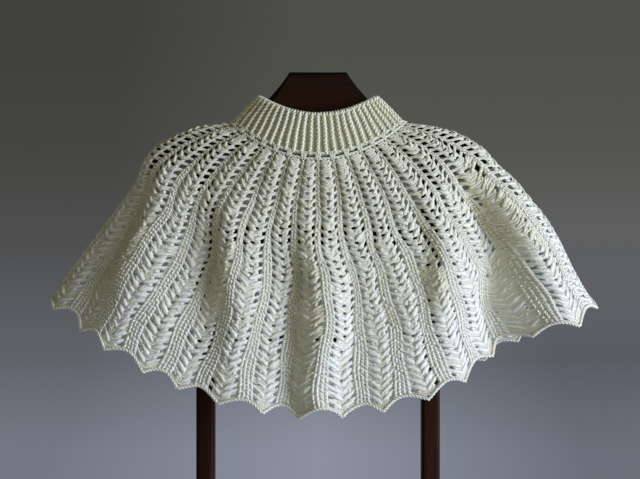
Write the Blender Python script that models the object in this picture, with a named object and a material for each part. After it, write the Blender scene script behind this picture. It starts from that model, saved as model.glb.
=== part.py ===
# A crocheted capelet with a ribbed stand collar, hung on the yoke of a wooden valet stand.
# Metres, +Z up. The front faces -Y, and the origin is on the floor under the middle of the stand.

import math
from collections import namedtuple

import bmesh
import bpy
import numpy as np

for old in list(bpy.data.objects):
    bpy.data.objects.remove(old, do_unlink=True)

# Clearance between pieces that touch on the real object
GAP = 0.0003

# Capelet: stitch repeats around the body, and rounds from the collar seam down to the hem
REPEATS = 32
ROUNDS = 34
EYELET_ROUNDS = (30, 31, 32)
EYELET_TOP, EYELET_FOOT = 0.22, 0.80
SCALLOP = 0.0055
SCALLOP_START = 0.45
RIB_WALL, FLANK_WALL, SHELL_WALL = 0.0022, 0.0034, 0.0048
SEAM_WALL = 0.0030
EDGING_GAP, EDGING_HEIGHT, EDGING_BULGE = 0.0004, 0.0034, 0.0009

# One repeat runs from rib to rib. Fractions of it, and the wall's thickness there.
Line = namedtuple("Line", "fraction wall")
REPEAT_LINES = (
    Line(0.17, RIB_WALL),
    Line(0.33, FLANK_WALL),
    Line(0.50, SHELL_WALL),
    Line(0.67, FLANK_WALL),
    Line(0.83, RIB_WALL),
)
EYELET_STARTS = (0.17, 0.67)

# Rings of the body's inside: how far down (0 seam, 1 hem), the reach to each side and to the front
# and back, the heights there, and how far the repeats crowd towards the middle of the front and back
Section = namedtuple("Section", "along right left depth right_z left_z front_z crowd")
BODY_SECTIONS = (
    Section(0.00, 0.0935, 0.0935, 0.0500, 1.0415, 1.0415, 1.0035, 0.000),
    Section(0.13, 0.1325, 0.1325, 0.0565, 1.0366, 1.0366, 0.9680, 0.003),
    Section(0.25, 0.1666, 0.1666, 0.0625, 1.0245, 1.0245, 0.9345, 0.006),
    Section(0.32, 0.1843, 0.1843, 0.0660, 1.0130, 1.0130, 0.9150, 0.007),
    Section(0.38, 0.1985, 0.1935, 0.0690, 0.9970, 1.0000, 0.8985, 0.007),
    Section(0.46, 0.2160, 0.2010, 0.0735, 0.9805, 0.9790, 0.8760, 0.006),
    Section(0.58, 0.2380, 0.2195, 0.0800, 0.9507, 0.9498, 0.8440, 0.005),
    Section(0.70, 0.2585, 0.2400, 0.0865, 0.9203, 0.9207, 0.8110, 0.004),
    Section(0.85, 0.2785, 0.2655, 0.0955, 0.8800, 0.8844, 0.7710, 0.003),
    Section(1.00, 0.3020, 0.2895, 0.1050, 0.8420, 0.8470, 0.7325, 0.002),
)
SHOULDER_RINGS = (0.07, 0.14, 0.21, 0.28, 0.335)
PLAIN_RINGS = (0.0,) + SHOULDER_RINGS + (0.39, 0.47, 0.59, 0.73)

# Crests and troughs of the hanging body: the repeat and the depth halfway down, the depth at the hem,
# where the fold starts, and where it eases to its depth at the hem.
# Repeats count from the +X side over the front (8) and the back (24).
Fold = namedtuple("Fold", "repeat middle hem start ease")
FOLDS = (
    Fold(0.0, 0.004, 0.000, 0.40, 0.75),
    Fold(1.3, 0.021, 0.021, 0.25, 0.65),
    Fold(2.4, -0.020, -0.032, 0.20, 0.58),
    Fold(4.2, 0.011, 0.008, 0.18, 0.55),
    Fold(4.8, -0.003, 0.001, 0.24, 0.50),
    Fold(6.4, -0.002, -0.001, 0.20, 0.60),
    Fold(8.05, 0.015, 0.008, 0.16, 0.70),
    Fold(9.0, -0.007, -0.005, 0.18, 0.70),
    Fold(10.9, 0.013, 0.003, 0.12, 0.55),
    Fold(11.5, -0.003, -0.001, 0.24, 0.55),
    Fold(14.2, 0.011, 0.005, 0.25, 0.70),
    Fold(15.1, -0.005, -0.004, 0.32, 0.70),
    Fold(16.1, 0.004, 0.0075, 0.40, 0.75),
    Fold(17.2, -0.010, -0.007, 0.35, 0.70),
    Fold(18.9, 0.012, 0.005, 0.20, 0.70),
    Fold(19.8, -0.004, -0.003, 0.30, 0.70),
    Fold(22.0, 0.013, 0.005, 0.10, 0.60),
    Fold(22.8, -0.007, -0.004, 0.15, 0.60),
    Fold(24.6, 0.012, 0.004, 0.08, 0.70),
    Fold(25.4, -0.007, -0.004, 0.12, 0.70),
    Fold(27.9, 0.013, 0.005, 0.18, 0.60),
    Fold(29.0, -0.010, -0.010, 0.30, 0.70),
)
# Lengths over which a fold grows and eases, and the repeats that it crosses on its straight way down
FOLD_RISE, FOLD_EASE = 0.40, 0.30
FOLD_FALL, FOLD_MIDDLE = 2.4, 0.60

# Places where the hem is lifted
Lift = namedtuple("Lift", "repeat spread height start")
LIFTS = (
    Lift(2.8, 0.9, 0.006, 0.40),
    Lift(3.0, 2.2, 0.013, 0.45),
    Lift(13.4, 0.8, 0.002, 0.40),
    Lift(17.3, 0.9, 0.003, 0.42),
    Lift(29.7, 0.9, 0.005, 0.40),
)
LIFT_GROWTH, LIFT_LIMIT = 1.4, 1.2

# Collar rings, from the seam (0) up to the rim (1), and its ribs
COLLAR_SECTIONS = (
    Section(0.00, 0.0935, 0.0935, 0.0500, 1.0415, 1.0415, 1.0035, 0.0),
    Section(0.50, 0.0780, 0.0780, 0.0448, 1.0575, 1.0575, 1.0272, 0.0),
    Section(1.00, 0.0635, 0.0635, 0.0400, 1.0715, 1.0715, 1.0505, 0.0),
)
COLLAR_RINGS = (0.0, 0.50, 0.93, 1.0)
COLLAR_RIBS = 54
COLLAR_LINES = (Line(0.00, 0.0026), Line(0.30, 0.0048), Line(0.70, 0.0048))
COLLAR_RIM_WALL = 0.6

# Stand
STAND_TOP = 1.100
YOKE_HALF_THICK = 0.014
YOKE_SEAT_GAP = 0.0004
YOKE_SIDES = 8
POST_X, POST_WIDE, POST_DEEP = 0.1255, 0.020, 0.030
POST_ROUND = 0.004
FOOT_LONG, FOOT_WIDE, FOOT_HIGH = 0.320, 0.044, 0.032
FOOT_ROUND = 0.006
RAIL_LOW, RAIL_HIGH, RAIL_THICK = 0.906, 0.929, 0.014
BAR_Z, BAR_RADIUS, BAR_SIDES = 0.804, 0.006, 16
BASE_RAIL_LOW, BASE_RAIL_HIGH, BASE_RAIL_THICK = 0.006, 0.028, 0.030
RAIL_ROUND = 0.003
ROUND_STEPS = 2

# Yoke outline on one side of the middle: the raised neck, then the arm under the cloth
Station = namedtuple("Station", "x top low crown")
NECK_STATIONS = (
    Station(0.0000, STAND_TOP, 1.0060, 0.004),
    Station(0.0318, STAND_TOP, 1.0060, 0.004),
    Station(0.0365, 1.0930, 1.0060, 0.005),
    Station(0.0435, 1.0838, 1.0060, 0.007),
    Station(0.0535, 1.0722, 1.0060, 0.009),
    Station(0.0660, 1.0590, 1.0060, 0.012),
    Station(0.0800, 1.0490, 1.0060, 0.014),
)
ARM_LOW_ROUND = 0.006
ARM_LOW_FLAT_X, ARM_LOW_Z = 0.139, 1.0060
ARM_TIP_X, ARM_LOW_TIP_Z = 0.187, 0.9860
TIP_SHRINK = 0.007

IVORY = (0.78, 0.76, 0.68, 1.0)
CREAM = (0.76, 0.73, 0.62, 1.0)
DARK_WOOD = (0.022, 0.0085, 0.0055, 1.0)
YARN_ROUGHNESS, WOOD_ROUGHNESS = 0.85, 0.38
SHARP_ANGLE = math.radians(35)

# Steps of the finite differences, and the place of a cell's top side among its four
STEP_ALONG, STEP_AROUND = 1e-4, 1e-3
TOP_SIDE = 3


def material(name, colour, roughness):
    finish = bpy.data.materials.new(name)
    finish.use_nodes = True
    shader = finish.node_tree.nodes["Principled BSDF"]
    shader.inputs["Base Color"].default_value = colour
    shader.inputs["Roughness"].default_value = roughness
    shader.inputs["Metallic"].default_value = 0.0
    return finish


def add_object(name, bm, colour, roughness):
    mesh = bpy.data.meshes.new(name)
    bm.to_mesh(mesh)
    bm.free()
    mesh.shade_smooth()
    mesh.set_sharp_from_angle(angle=SHARP_ANGLE)
    mesh.materials.append(material(name, colour, roughness))
    made = bpy.data.objects.new(name, mesh)
    bpy.context.scene.collection.objects.link(made)
    return made


# Cloth surface

def unit(vectors):
    return vectors / np.linalg.norm(vectors, axis=-1, keepdims=True)


def section_at(sections, along):
    """The ring at a distance along, on a smooth curve through the table's rows."""
    rows = np.array(sections)
    places = rows[:, 0]
    slopes = np.gradient(rows, places, axis=0)
    index = int(np.clip(np.searchsorted(places, along) - 1, 0, len(places) - 2))
    step = places[index + 1] - places[index]
    t = (along - places[index]) / step
    start, end = rows[index], rows[index + 1]
    leave, arrive = slopes[index] * step, slopes[index + 1] * step
    curve = (
        (2 * t**3 - 3 * t**2 + 1) * start
        + (t**3 - 2 * t**2 + t) * leave
        + (3 * t**2 - 2 * t**3) * end
        + (t**3 - t**2) * arrive
    )
    return Section(*curve)


def ring_points(ring, angles):
    """Points of one ring, low at the front and the back and high at the sides."""
    side, front = np.cos(angles), np.sin(angles)
    reach = np.where(side > 0.0, ring.right, ring.left)
    side_z = np.where(side > 0.0, ring.right_z, ring.left_z)
    height = side_z * side**2 + ring.front_z * front**2
    return np.stack([reach * side, -ring.depth * front, height], axis=-1)


def even_angles(ring, turns):
    """Angles at nearly even lengths around the ring, because every stitch repeat is equally wide."""
    sweep = np.linspace(0.0, 2.0 * math.pi, 1441)
    steps = np.linalg.norm(np.diff(ring_points(ring, sweep), axis=0), axis=1)
    lengths = np.concatenate([[0.0], np.cumsum(steps)])
    crowded = np.mod(turns + ring.crowd * np.sin(4.0 * math.pi * turns), 1.0)
    return np.interp(crowded, lengths / lengths[-1], sweep)


def smooth_step(value, low, high):
    share = np.clip((value - low) / (high - low), 0.0, 1.0)
    return share * share * (3.0 - 2.0 * share)


def fold_spots(along):
    """Repeats and depths of the crests and troughs at one height, with the first again at the end."""
    repeat, middle, hem, start, ease = np.array(FOLDS).T
    grown = smooth_step(along, start, start + FOLD_RISE)
    low = smooth_step(along, ease, ease + FOLD_EASE)
    depths = grown * (middle + (hem - middle) * low)
    slant = np.sin(4.0 * math.pi * (repeat / REPEATS - 0.25))
    spots = repeat - FOLD_FALL * (along - FOLD_MIDDLE) * slant
    return np.append(spots, spots[0] + REPEATS), np.append(depths, depths[0])


def fold_depth(along, repeats):
    """How far the folds move the cloth outward."""
    spots, depths = fold_spots(along)
    turned = np.mod(repeats - spots[0], REPEATS) + spots[0]
    index = np.clip(np.searchsorted(spots, turned, side="right") - 1, 0, len(FOLDS) - 1)
    share = smooth_step(turned, spots[index], spots[index + 1])
    return depths[index] + (depths[index + 1] - depths[index]) * share


def hem_lift(along, repeats):
    """How far the cloth is lifted, more towards the hem."""
    height = np.zeros_like(repeats)
    for lift in LIFTS:
        grown = np.clip((along - lift.start) / (1.0 - lift.start), 0.0, LIFT_LIMIT) ** LIFT_GROWTH
        away = np.mod(repeats - lift.repeat + REPEATS / 2, REPEATS) - REPEATS / 2
        height += lift.height * grown * np.exp(-((away / lift.spread) ** 2))
    return height


def body_inside(along, repeats):
    ring = section_at(BODY_SECTIONS, along)
    angles = even_angles(ring, repeats / REPEATS)
    side, front = np.cos(angles), np.sin(angles)
    reach = np.where(side > 0.0, ring.right, ring.left)
    outward = unit(np.stack([side / reach, -front / ring.depth, np.zeros_like(side)], axis=-1))
    points = ring_points(ring, angles) + outward * fold_depth(along, repeats)[:, None]
    points[:, 2] += hem_lift(along, repeats)
    return points


def collar_inside(along, repeats):
    ring = section_at(COLLAR_SECTIONS, along)
    return ring_points(ring, even_angles(ring, repeats / REPEATS))


def frame_at(inside, along, repeats):
    """Points of a ring, the direction of growing along, and the outward normal."""
    points = inside(along, repeats)
    onward = unit(inside(along + STEP_ALONG, repeats) - inside(along - STEP_ALONG, repeats))
    around = unit(inside(along, repeats + STEP_AROUND) - inside(along, repeats - STEP_AROUND))
    normal = unit(np.cross(onward, around))
    if np.sum((points - points.mean(axis=0)) * normal) < 0.0:
        normal = -normal
    return points, onward, normal


def seam_outward(repeats):
    """The direction that the body's and the collar's edges share, halfway between their normals."""
    body_normal = frame_at(body_inside, 0.0, repeats)[2]
    collar_normal = frame_at(collar_inside, 0.0, repeats)[2]
    return unit(body_normal + collar_normal)


def repeat_lines(first, last, with_ends):
    """Repeat coordinates and wall thicknesses of the lines between two ribs."""
    lines = [(whole + line.fraction, line.wall) for whole in range(first, last) for line in REPEAT_LINES]
    if with_ends:
        margin = GAP / 2 / (2 * math.pi * BODY_SECTIONS[0].depth) * REPEATS
        lines = [(first + margin, RIB_WALL)] + lines + [(last - margin, RIB_WALL)]
    return np.array(lines).T


def row_wave(along, repeats):
    """Low down, each round dips to a point under a shell and arches over a rib."""
    growth = max(0.0, along - SCALLOP_START) / (1.0 - SCALLOP_START)
    return SCALLOP * growth * (1.0 - 2.0 * np.abs(np.cos(math.pi * repeats)))


def wall_mesh(inner, outer, closed, holes):
    """A closed wall between two grids of rings and columns, with some cells left out as holes.

    The edges are split so that a top edge and the foot of the wall above it stay an even gap apart.
    """
    rings, columns = inner.shape[:2]
    cells_around = columns if closed else columns - 1
    bm = bmesh.new()
    inside = [[bm.verts.new(point) for point in ring] for ring in inner]
    outside = [[bm.verts.new(point) for point in ring] for ring in outer]

    def is_cloth(ring, column):
        if closed:
            column %= columns
        in_grid = 0 <= ring < rings - 1 and 0 <= column < cells_around
        return in_grid and (ring, column) not in holes

    for ring in range(rings - 1):
        for column in range(cells_around):
            if not is_cloth(ring, column):
                continue
            beside = (column + 1) % columns
            corners = [(ring, column), (ring + 1, column), (ring + 1, beside), (ring, beside)]
            bm.faces.new([outside[i][j] for i, j in corners])
            bm.faces.new([inside[i][j] for i, j in reversed(corners)])
            neighbours = [(ring, column - 1), (ring + 1, column), (ring, column + 1), (ring - 1, column)]
            for side, neighbour in enumerate(neighbours):
                if is_cloth(*neighbour):
                    continue
                (i, j), (k, m) = corners[side], corners[(side + 1) % 4]
                edge = [outside[k][m], outside[i][j], inside[i][j], inside[k][m]]
                if side == TOP_SIDE:
                    edge = edge[1:] + edge[:1]
                bm.faces.new([edge[0], edge[1], edge[3]])
                bm.faces.new([edge[1], edge[2], edge[3]])
    bmesh.ops.recalc_face_normals(bm, faces=bm.faces)
    return bm


# Capelet

def body_rings():
    """Ring places down the body: plain ones, then a pair at the top and foot of each round of eyelets."""
    eyelet_pairs = [
        ((number + EYELET_TOP) / ROUNDS, (number + EYELET_FOOT) / ROUNDS) for number in EYELET_ROUNDS
    ]
    rings = list(PLAIN_RINGS) + [place for pair in eyelet_pairs for place in pair] + [1.0]
    eyelet_bands = [rings.index(top) for top, _ in eyelet_pairs]
    return rings, eyelet_bands


def body_half(name, first, last):
    repeats, walls = repeat_lines(first, last, with_ends=True)
    rings, eyelet_bands = body_rings()
    inner, outer = [], []
    for along in rings:
        points, onward, normal = frame_at(body_inside, along, repeats)
        walls_here = walls
        if along == 0.0:
            points = points + onward * GAP / 2
            normal = seam_outward(repeats)
            walls_here = np.full_like(walls, SEAM_WALL)
        points = points + onward * row_wave(along, repeats)[:, None]
        inner.append(points)
        outer.append(points + normal * walls_here[:, None])
    fractions = np.mod(repeats, 1.0)
    eyelet_columns = [
        column for column, place in enumerate(fractions) if any(abs(place - s) < 0.01 for s in EYELET_STARTS)
    ]
    holes = {(band, column) for band in eyelet_bands for column in eyelet_columns}
    bm = wall_mesh(np.array(inner), np.array(outer), False, holes)
    return add_object(name, bm, IVORY, YARN_ROUGHNESS)


def hem_edging():
    """The last narrow round, under the body's scalloped edge."""
    repeats, walls = repeat_lines(0, REPEATS, with_ends=False)
    points, onward, normal = frame_at(body_inside, 1.0, repeats)
    points = points + onward * row_wave(1.0, repeats)[:, None]
    inner, outer = [], []
    for part, bulge in ((0.0, EDGING_BULGE), (1.0, -EDGING_BULGE)):
        ring = points + onward * (EDGING_GAP + EDGING_HEIGHT * part)
        inner.append(ring)
        outer.append(ring + normal * (walls + bulge)[:, None])
    bm = wall_mesh(np.array(inner), np.array(outer), True, set())
    return add_object("hem_edging", bm, IVORY, YARN_ROUGHNESS)


def collar():
    lines = [(rib + line.fraction, line.wall) for rib in range(COLLAR_RIBS) for line in COLLAR_LINES]
    ribs, walls = np.array(lines).T
    repeats = ribs / COLLAR_RIBS * REPEATS
    inner, outer = [], []
    for along in COLLAR_RINGS:
        points, onward, normal = frame_at(collar_inside, along, repeats)
        walls_here = walls
        if along == 0.0:
            points = points + onward * GAP / 2
            normal = seam_outward(repeats)
            walls_here = np.full_like(walls, SEAM_WALL)
        if along == 1.0:
            walls_here = walls * COLLAR_RIM_WALL
        inner.append(points)
        outer.append(points + normal * walls_here[:, None])
    bm = wall_mesh(np.array(inner), np.array(outer), True, set())
    return add_object("collar", bm, CREAM, YARN_ROUGHNESS)


# Stand

def arm_low(x):
    """Underside of the yoke: level over the posts, then falling towards the tip as the top does."""
    past = max(0.0, x - ARM_LOW_FLAT_X) / (ARM_TIP_X - ARM_LOW_FLAT_X)
    return ARM_LOW_Z + (ARM_LOW_TIP_Z - ARM_LOW_Z) * past


def yoke_stations():
    """Outline of one side of the yoke. The arm's top follows the inside of the cloth that rests on it."""
    stations = list(NECK_STATIONS)
    side = np.array([0.0])
    for along in (0.0,) + SHOULDER_RINGS:
        x, _, z = body_inside(along, side)[0]
        stations.append(Station(x, z - YOKE_SEAT_GAP, arm_low(x), YOKE_HALF_THICK))
    tip = stations.pop()
    stations.append(Station(tip.x, tip.top - TIP_SHRINK, tip.low + TIP_SHRINK, YOKE_HALF_THICK / 2))
    return stations


def yoke_ring(station, x, thick):
    """A section of the yoke across the arm, with a crowned top and a softened underside."""
    points = []
    for step in range(YOKE_SIDES + 1):
        turn = math.pi * (step / YOKE_SIDES - 0.5)
        height = station.top - station.crown * (1.0 - math.cos(turn))
        points.append((x, thick * math.sin(turn), height))
    for step in range(YOKE_SIDES + 1):
        turn = math.pi * (0.5 - step / YOKE_SIDES)
        height = station.low + ARM_LOW_ROUND * (1.0 - math.cos(turn))
        points.append((x, thick * math.sin(turn), height))
    return points


def yoke():
    half = yoke_stations()
    mirrored = [(station, -station.x) for station in reversed(half[1:])]
    bm = bmesh.new()
    loops = []
    for station, x in mirrored + [(station, station.x) for station in half]:
        thick = YOKE_HALF_THICK if station is not half[-1] else YOKE_HALF_THICK / 2
        ring = [bm.verts.new(point) for point in yoke_ring(station, x, thick)]
        loops.append(ring)
    for left, right in zip(loops, loops[1:]):
        for index in range(len(left)):
            beside = (index + 1) % len(left)
            bm.faces.new([left[index], left[beside], right[beside], right[index]])
    bm.faces.new(loops[0])
    bm.faces.new(list(reversed(loops[-1])))
    bmesh.ops.recalc_face_normals(bm, faces=bm.faces)
    return add_object("hanger", bm, DARK_WOOD, WOOD_ROUGHNESS)


def rounded_block(name, low, high, rounding):
    low, high = np.array(low), np.array(high)
    bm = bmesh.new()
    bmesh.ops.create_cube(bm, size=1.0)
    bmesh.ops.scale(bm, vec=high - low, verts=bm.verts)
    bmesh.ops.translate(bm, vec=(low + high) / 2, verts=bm.verts)
    bmesh.ops.bevel(
        bm, geom=bm.edges[:], offset=rounding, segments=ROUND_STEPS, profile=0.5, affect="EDGES", material=-1
    )
    return add_object(name, bm, DARK_WOOD, WOOD_ROUGHNESS)


def post(name, x):
    low = (x - POST_WIDE / 2, -POST_DEEP / 2, FOOT_HIGH + GAP)
    high = (x + POST_WIDE / 2, POST_DEEP / 2, ARM_LOW_Z - GAP)
    return rounded_block(name, low, high, POST_ROUND)


def foot(name, x):
    low = (x - FOOT_WIDE / 2, -FOOT_LONG / 2, 0.0)
    high = (x + FOOT_WIDE / 2, FOOT_LONG / 2, FOOT_HIGH)
    return rounded_block(name, low, high, FOOT_ROUND)


def cross_rail(name, reach, low_z, high_z, thick):
    low = (-reach, -thick / 2, low_z)
    high = (reach, thick / 2, high_z)
    return rounded_block(name, low, high, RAIL_ROUND)


def trouser_bar(reach):
    bm = bmesh.new()
    bmesh.ops.create_cone(
        bm, cap_ends=True, segments=BAR_SIDES, radius1=BAR_RADIUS, radius2=BAR_RADIUS, depth=2 * reach
    )
    for vert in bm.verts:
        x, y, z = vert.co
        vert.co = (z, y, BAR_Z - x)
    bmesh.ops.recalc_face_normals(bm, faces=bm.faces)
    return add_object("trouser_bar", bm, DARK_WOOD, WOOD_ROUGHNESS)


collar()
body_half("body_front", 0, REPEATS // 2)
body_half("body_back", REPEATS // 2, REPEATS)
hem_edging()

yoke()
post("post_left", -POST_X)
post("post_right", POST_X)
between_posts = POST_X - POST_WIDE / 2 - GAP
cross_rail("upper_rail", between_posts, RAIL_LOW, RAIL_HIGH, RAIL_THICK)
trouser_bar(between_posts)
foot("foot_left", -POST_X)
foot("foot_right", POST_X)
between_feet = POST_X - FOOT_WIDE / 2 - GAP
cross_rail("base_rail", between_feet, BASE_RAIL_LOW, BASE_RAIL_HIGH, BASE_RAIL_THICK)
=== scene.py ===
import math

import bmesh
import bpy
import mathutils
import numpy as np
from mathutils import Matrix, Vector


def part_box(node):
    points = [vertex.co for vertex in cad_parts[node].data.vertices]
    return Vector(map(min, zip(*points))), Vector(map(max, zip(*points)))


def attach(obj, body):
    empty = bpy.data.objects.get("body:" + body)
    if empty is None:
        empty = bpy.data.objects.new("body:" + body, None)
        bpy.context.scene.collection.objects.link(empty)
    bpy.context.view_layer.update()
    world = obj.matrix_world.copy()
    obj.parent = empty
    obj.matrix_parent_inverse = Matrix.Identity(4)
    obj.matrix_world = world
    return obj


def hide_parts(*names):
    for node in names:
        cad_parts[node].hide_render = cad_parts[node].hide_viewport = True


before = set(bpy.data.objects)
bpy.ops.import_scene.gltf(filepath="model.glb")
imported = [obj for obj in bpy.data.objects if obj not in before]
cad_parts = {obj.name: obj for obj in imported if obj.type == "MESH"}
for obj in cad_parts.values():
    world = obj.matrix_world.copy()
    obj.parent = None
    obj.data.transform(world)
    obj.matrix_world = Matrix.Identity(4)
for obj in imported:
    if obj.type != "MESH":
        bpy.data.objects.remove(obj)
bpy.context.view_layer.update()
print("frame loaded:", len(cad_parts), "nodes")

rng = np.random.default_rng(11)


# Shader expressions: a Wire is one node socket, and Python operators on it add Math nodes

class Wire:
    def __init__(self, finish, socket):
        self.finish = finish
        self.socket = socket

    def math(self, operation, *values):
        sockets = dict(enumerate(values))
        return self.finish.node("ShaderNodeMath", {"operation": operation}, sockets).out(0)

    def __add__(self, other):
        return self.math("ADD", self, other)

    def __radd__(self, other):
        return self.math("ADD", other, self)

    def __sub__(self, other):
        return self.math("SUBTRACT", self, other)

    def __rsub__(self, other):
        return self.math("SUBTRACT", other, self)

    def __mul__(self, other):
        return self.math("MULTIPLY", self, other)

    def __rmul__(self, other):
        return self.math("MULTIPLY", other, self)

    def __truediv__(self, other):
        return self.math("DIVIDE", self, other)

    def __rtruediv__(self, other):
        return self.math("DIVIDE", other, self)

    def sine(self):
        return self.math("SINE", self)

    def between(self, low, high):
        sockets = {"Value": self, "From Min": low, "From Max": high}
        return self.finish.node("ShaderNodeMapRange", {"clamp": True}, sockets).out("Result")


class NodeOutputs:
    def __init__(self, finish, node):
        self.finish = finish
        self.node = node

    def out(self, which):
        return Wire(self.finish, self.node.outputs[which])


class Finish:
    def __init__(self, name, fixed):
        self.material = bpy.data.materials.new(name)
        self.material.use_nodes = True
        self.tree = self.material.node_tree
        self.shader = self.tree.nodes["Principled BSDF"]
        for socket, value in fixed.items():
            self.shader.inputs[socket].default_value = value

    def node(self, kind, settings, sockets):
        made = self.tree.nodes.new(kind)
        for name, value in settings.items():
            if name == "stops":
                self.setStops(made.color_ramp, value)
            else:
                setattr(made, name, value)
        for name, value in sockets.items():
            self.join(value, made.inputs[name])
        return NodeOutputs(self, made)

    def setStops(self, ramp, stops):
        while len(ramp.elements) < len(stops):
            ramp.elements.new(1.0)
        for element, (place, colour) in zip(ramp.elements, stops):
            element.position = place
            element.color = colour

    def join(self, value, socket):
        if isinstance(value, Wire):
            self.tree.links.new(value.socket, socket)
        else:
            socket.default_value = value

    def feed(self, name, value):
        self.join(value, self.shader.inputs[name])

    def coords(self, kind):
        return self.node("ShaderNodeTexCoord", {}, {}).out(kind)

    def attribute(self, name):
        return self.node("ShaderNodeAttribute", {"attribute_name": name}, {}).out("Fac")

    def parts(self, vector):
        made = self.node("ShaderNodeSeparateXYZ", {}, {"Vector": vector})
        return made.out("X"), made.out("Y"), made.out("Z")

    def stretch(self, vector, scale):
        return self.node("ShaderNodeMapping", {}, {"Vector": vector, "Scale": scale}).out("Vector")

    def noise(self, vector, scale, detail):
        sockets = {"Vector": vector, "Scale": scale, "Detail": detail}
        return self.node("ShaderNodeTexNoise", {}, sockets).out("Fac")

    def mix(self, share, first, second):
        # 6 and 7 are the node's two colour sockets, and 2 is its colour output
        sockets = {"Factor": share, 6: first, 7: second}
        return self.node("ShaderNodeMix", {"data_type": "RGBA"}, sockets).out(2)

    def bump(self, height, distance, strength):
        sockets = {"Height": height, "Distance": distance, "Strength": strength}
        self.feed("Normal", self.node("ShaderNodeBump", {}, sockets).out("Normal"))


# Finishes

yarnLook = {
    "light": (0.88, 0.88, 0.83, 1.0),
    "dark": (0.66, 0.63, 0.44, 1.0),
    "plyTurn": 0.0052,          # one turn of the ply, metres along the strand
    "plies": 3,
    "plyDepth": 0.00020,
    "plyShare": (0.10, 0.6),    # of the ply's wave in the tone, as painted shade in the grooves between the plies, and in the bump
    "fuzz": 0.9,
    "fibreScale": 1400.0,
    "dyeScale": 35.0,
    "dyeShare": 0.35,
    "toneShift": -0.15,
    "roughness": (0.80, 0.15),  # the least, and what the fibres add
    "bump": 0.6,
}
collarLook = dict(yarnLook, light=(0.86, 0.85, 0.70, 1.0), dark=(0.66, 0.64, 0.46, 1.0))
# painted shade: the ground's colours are darker and more olive than the yarn's, so the gaps between the
# strands read as shaded
groundLook = {
    "light": (0.82, 0.81, 0.72, 1.0),
    "dark": (0.64, 0.62, 0.46, 1.0),
    "swing": 1.2,               # how far the stitch lines swing across a repeat
    "linesPerRound": 3.0,
    "lineShare": (0.18, 0.7),   # of the stitch lines in the tone, as painted shade along them, and in the bump
    "fibreScale": 900.0,
    "fibreShare": 0.5,
    "toneShift": 0.3,
    "bumpDepth": 0.0006,
    "bump": 0.7,
}
# painted shade: the collar's ground, seen in the grooves between the ropes, is darker still
collarGroundLook = dict(groundLook, light=(0.60, 0.58, 0.45, 1.0), dark=(0.44, 0.42, 0.31, 1.0))


def yarnFinish(name, look):
    fixed = {"Sheen Weight": 0.22, "Sheen Roughness": 0.45, "Specular IOR Level": 0.25,
             "Subsurface Weight": 0.35, "Subsurface Radius": (1.0, 0.9, 0.7), "Subsurface Scale": 0.003}
    finish = Finish(name, fixed)
    place = finish.coords("Object")
    alongYarn, aroundYarn, _ = finish.parts(finish.coords("UV"))
    ply = (alongYarn * (math.tau / look["plyTurn"]) + aroundYarn * (math.tau * look["plies"])).sine()
    plyTone, plyBump = look["plyShare"]
    fibres = finish.noise(place, look["fibreScale"], 3.0)
    dye = finish.noise(place, look["dyeScale"], 2.0)
    tone = finish.attribute("tone") + dye * look["dyeShare"] + ply * plyTone + look["toneShift"]
    finish.feed("Base Color", finish.mix(tone.between(0.0, 1.0), look["light"], look["dark"]))
    leastRough, fibreRough = look["roughness"]
    finish.feed("Roughness", leastRough + fibres * fibreRough)
    finish.bump(ply * plyBump + fibres * look["fuzz"], look["plyDepth"], look["bump"])
    return finish.material


def groundFinish(name, look):
    fixed = {"Roughness": 0.9, "Sheen Weight": 0.2, "Sheen Roughness": 0.5, "Specular IOR Level": 0.2}
    finish = Finish(name, fixed)
    repeat, row, _ = finish.parts(finish.coords("UV"))
    swing = (repeat * math.tau).sine() * look["swing"]
    lines = (swing + row * (math.tau * look["linesPerRound"])).sine()
    lineTone, lineBump = look["lineShare"]
    fibres = finish.noise(finish.coords("Object"), look["fibreScale"], 3.0) * look["fibreShare"]
    tone = (lines * lineTone + fibres + look["toneShift"]).between(0.0, 1.0)
    finish.feed("Base Color", finish.mix(tone, look["dark"], look["light"]))
    finish.bump(lines * lineBump + fibres, look["bumpDepth"], look["bump"])
    return finish.material


woodLook = {
    "grain": [(0.0, (0.005, 0.0016, 0.0008, 1.0)), (0.55, (0.015, 0.0042, 0.0022, 1.0)),
              (1.0, (0.036, 0.0120, 0.0055, 1.0))],
    "lift": {"x": -0.27, "y": -0.20, "z": -0.05},   # painted shade: each grain's wood drawn darker, most along x (yoke, rails, trouser bar) and least along z (posts)
    "fine": 420.0,
    "fineShare": 0.5,
    "broad": 26.0,
    "broadShare": 0.9,
    "edgeShare": 0.45,          # painted shade: how much darker the yoke's rounded top and its border are
    "range": (0.15, 0.85),
    "stretch": 0.06,            # how far the grain is drawn out along the piece
    "roughness": (0.36, 0.22),  # the least, and what the pores add
    "bumpDepth": 0.0004,
    "bump": 0.35,
}


def woodFinish(name, grain):
    look = woodLook
    finish = Finish(name, {"Specular IOR Level": 0.12, "Specular Tint": (1.0, 0.70, 0.55, 1.0)})
    scale = [1.0, 1.0, 1.0]
    scale["xyz".index(grain)] = look["stretch"]
    drawn = finish.stretch(finish.coords("Object"), scale)
    pores = finish.noise(drawn, look["fine"], 4.0)
    bands = finish.noise(drawn, look["broad"], 3.0)
    edge = finish.attribute("edge")
    # painted shade: the grain's lift darkens whole pieces, and the edge mark darkens the yoke's rounded top
    # and border
    tone = pores * look["fineShare"] + bands * look["broadShare"] + look["lift"][grain]
    share = (tone - edge * look["edgeShare"]).between(*look["range"])
    ramp = finish.node("ShaderNodeValToRGB", {"stops": look["grain"]}, {"Fac": share})
    finish.feed("Base Color", ramp.out("Color"))
    leastRough, poreRough = look["roughness"]
    finish.feed("Roughness", leastRough + pores * poreRough)
    finish.bump(pores, look["bumpDepth"], look["bump"])
    return finish.material


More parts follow.
